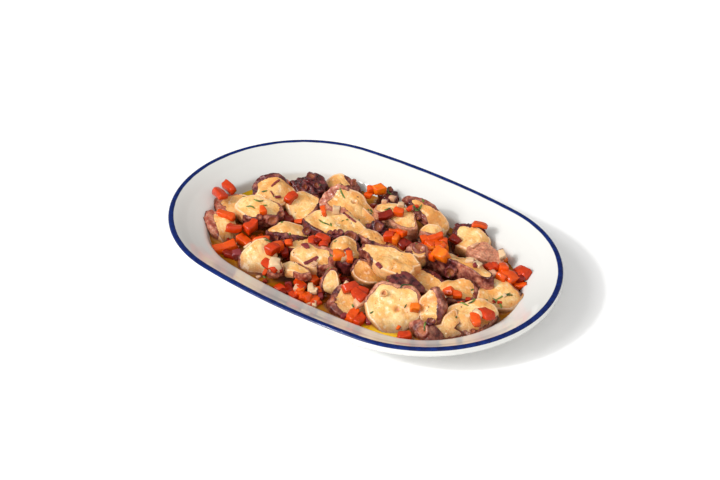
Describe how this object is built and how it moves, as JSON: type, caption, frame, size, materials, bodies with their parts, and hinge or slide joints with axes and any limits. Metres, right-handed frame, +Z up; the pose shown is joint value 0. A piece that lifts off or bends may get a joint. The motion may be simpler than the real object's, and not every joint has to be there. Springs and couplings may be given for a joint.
{
  "type": "marinated octopus on an oval platter",
  "caption": "Slices of cooked octopus arm heaped in seasoned oil with diced pepper, onion and herbs, on an oval white platter with a blue rim line.",
  "frame": {"origin": "on the table under the centre of the platter's foot", "axes": "+X along the platter's long axis, +Y across it towards the far side of the heap, +Z up"},
  "size_m": [0.32, 0.21, 0.0366],
  "materials": {
    "porcelain": "glossy white glaze with a navy line round the rim",
    "oil": "clear amber oil, mirror smooth on top",
    "octopus_flesh": "moist cream flesh, lightly marbled, wet with oil",
    "octopus_skin": "moist purple to pink skin with suckers",
    "red_pepper": "wet glossy red pepper",
    "orange_pepper": "wet glossy orange pepper",
    "onion": "moist pale onion with purple edges",
    "herb": "soft dark green herb"
  },
  "bodies": {
    "root": {"platter": "porcelain", "oil": "oil", "octopus_01": "octopus_flesh", "octopus_02": "octopus_flesh", "octopus_03": "octopus_flesh", "octopus_04": "octopus_flesh", "octopus_05": "octopus_flesh", "octopus_06": "octopus_skin", "octopus_07": "octopus_flesh", "octopus_08": "octopus_flesh", "octopus_09": "octopus_skin", "octopus_10": "octopus_flesh", "octopus_11": "octopus_flesh", "octopus_12": "octopus_skin", "octopus_13": "octopus_flesh", "octopus_14": "octopus_flesh", "octopus_15": "octopus_flesh", "octopus_16": "octopus_skin", "octopus_17": "octopus_flesh", "octopus_18": "octopus_flesh", "octopus_19": "octopus_flesh", "octopus_20": "octopus_flesh", "octopus_21": "octopus_flesh", "octopus_22": "octopus_flesh", "octopus_23": "octopus_skin", "octopus_24": "octopus_flesh", "octopus_25": "octopus_flesh", "octopus_26": "octopus_skin", "octopus_27": "octopus_flesh", "octopus_28": "octopus_flesh", "octopus_29": "octopus_flesh", "octopus_30": "octopus_flesh", "octopus_31": "octopus_flesh", "octopus_32": "octopus_skin", "octopus_33": "octopus_flesh", "octopus_34": "octopus_skin", "octopus_35": "octopus_skin", "octopus_36": "octopus_flesh", "octopus_37": "octopus_flesh", "octopus_38": "octopus_skin", "octopus_39": "octopus_flesh", "octopus_40": "octopus_skin", "octopus_41": "octopus_flesh", "pepper_01": "red_pepper", "pepper_02": "red_pepper", "pepper_03": "red_pepper", "pepper_04": "red_pepper", "pepper_05": "red_pepper", "pepper_06": "red_pepper", "pepper_07": "red_pepper", "pepper_08": "orange_pepper", "pepper_09": "red_pepper", "pepper_10": "orange_pepper", "pepper_11": "orange_pepper", "pepper_12": "red_pepper", "pepper_13": "red_pepper", "pepper_14": "red_pepper", "pepper_15": "red_pepper", "pepper_16": "red_pepper", "pepper_17": "red_pepper"}
  },
  "joints": []
}
